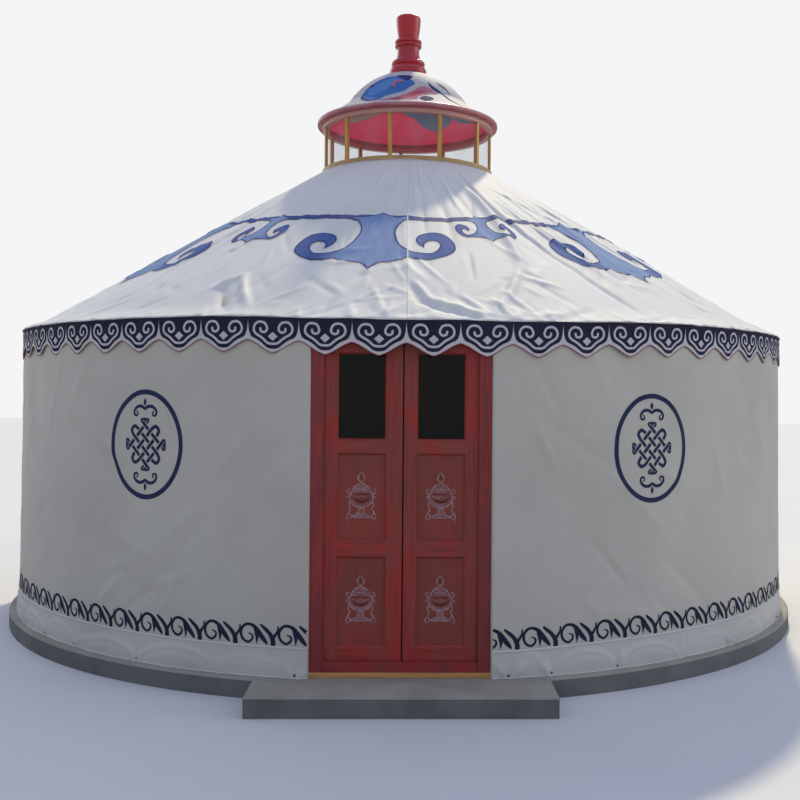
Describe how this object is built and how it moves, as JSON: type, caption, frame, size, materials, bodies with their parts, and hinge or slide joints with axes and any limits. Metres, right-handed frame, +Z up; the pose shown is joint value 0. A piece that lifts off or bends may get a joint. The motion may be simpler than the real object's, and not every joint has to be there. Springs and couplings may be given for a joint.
{
  "type": "yurt",
  "caption": "Round felt and canvas tent house on a concrete plinth, with a lattice wall, pole roof, scalloped valance, two-leaf red door, glazed crown and turned finial.",
  "frame": {"origin": "on the upright axis of the yurt, on the ground under the plinth", "axes": "+Z up; the door faces -Y; +X to the right as one faces the door from outside"},
  "size_m": [5.624, 5.852, 4.4623],
  "materials": {
    "concrete": "grey cast concrete",
    "ochre_board": "ochre painted board, worn",
    "red_lacquer": "red lacquered softwood, worn along its edges",
    "red_panel": "red lacquered panel with a white painted vase",
    "dark_glass": "clear window glass",
    "hinge_steel": "plain steel",
    "wall_canvas": "off-white coated canvas over felt",
    "skirt_canvas": "bluish white coated canvas",
    "valance_cloth": "navy printed canvas with red piping",
    "roof_canvas": "white coated canvas over felt, blue print",
    "lattice_wood": "oiled laths",
    "pole_wood": "oiled poles",
    "crown_wood": "varnished gold-brown wood",
    "clear_film": "clear film",
    "cap_rim_paint": "dusty red paint",
    "cap_paint": "white, blue and red paint",
    "finial_lacquer": "red lacquered turned wood"
  },
  "bodies": {
    "yurt": {"cap_dome": "cap_paint", "cap_rim": "cap_rim_paint", "crown_panes": "clear_film", "crown_posts": "crown_wood", "crown_ring": "crown_wood", "crown_top_ring": "crown_wood", "door_head": "red_lacquer", "door_left_jamb": "red_lacquer", "door_right_jamb": "red_lacquer", "door_threshold": "red_lacquer", "doorstep": "concrete", "finial": "finial_lacquer", "lattice_1": "lattice_wood", "lattice_2": "lattice_wood", "lattice_3": "lattice_wood", "lattice_4": "lattice_wood", "lattice_5": "lattice_wood", "left_jamb_hinges": "hinge_steel", "plinth": "concrete", "right_jamb_hinges": "hinge_steel", "roof_cover_1": "roof_canvas", "roof_cover_2": "roof_canvas", "roof_cover_3": "roof_canvas", "roof_cover_4": "roof_canvas", "roof_cover_5": "roof_canvas", "roof_cover_6": "roof_canvas", "roof_poles": "pole_wood", "sill_board": "ochre_board", "skirt": "skirt_canvas", "valance": "valance_cloth", "wall_cover_1": "wall_canvas", "wall_cover_2": "wall_canvas", "wall_cover_3": "wall_canvas", "wall_cover_4": "wall_canvas", "wall_cover_5": "wall_canvas", "wall_cover_6": "wall_canvas", "wall_cover_over_door": "wall_canvas"},
    "left_leaf": {"left_door_frame": "red_lacquer", "left_door_glass": "dark_glass", "left_door_hinges": "hinge_steel", "left_door_panels": "red_panel"},
    "right_leaf": {"right_door_frame": "red_lacquer", "right_door_glass": "dark_glass", "right_door_hinges": "hinge_steel", "right_door_panels": "red_panel"}
  },
  "joints": [
    {"name": "left_door_hinge", "type": "hinge", "parent": "yurt", "child": "left_leaf", "pos_m": [-0.406, -2.616, 1.012], "axis": [0, 0, 1], "range_deg": [0, 100]},
    {"name": "right_door_hinge", "type": "hinge", "parent": "yurt", "child": "right_leaf", "pos_m": [0.406, -2.616, 1.012], "axis": [0, 0, -1], "range_deg": [0, 100]}
  ]
}
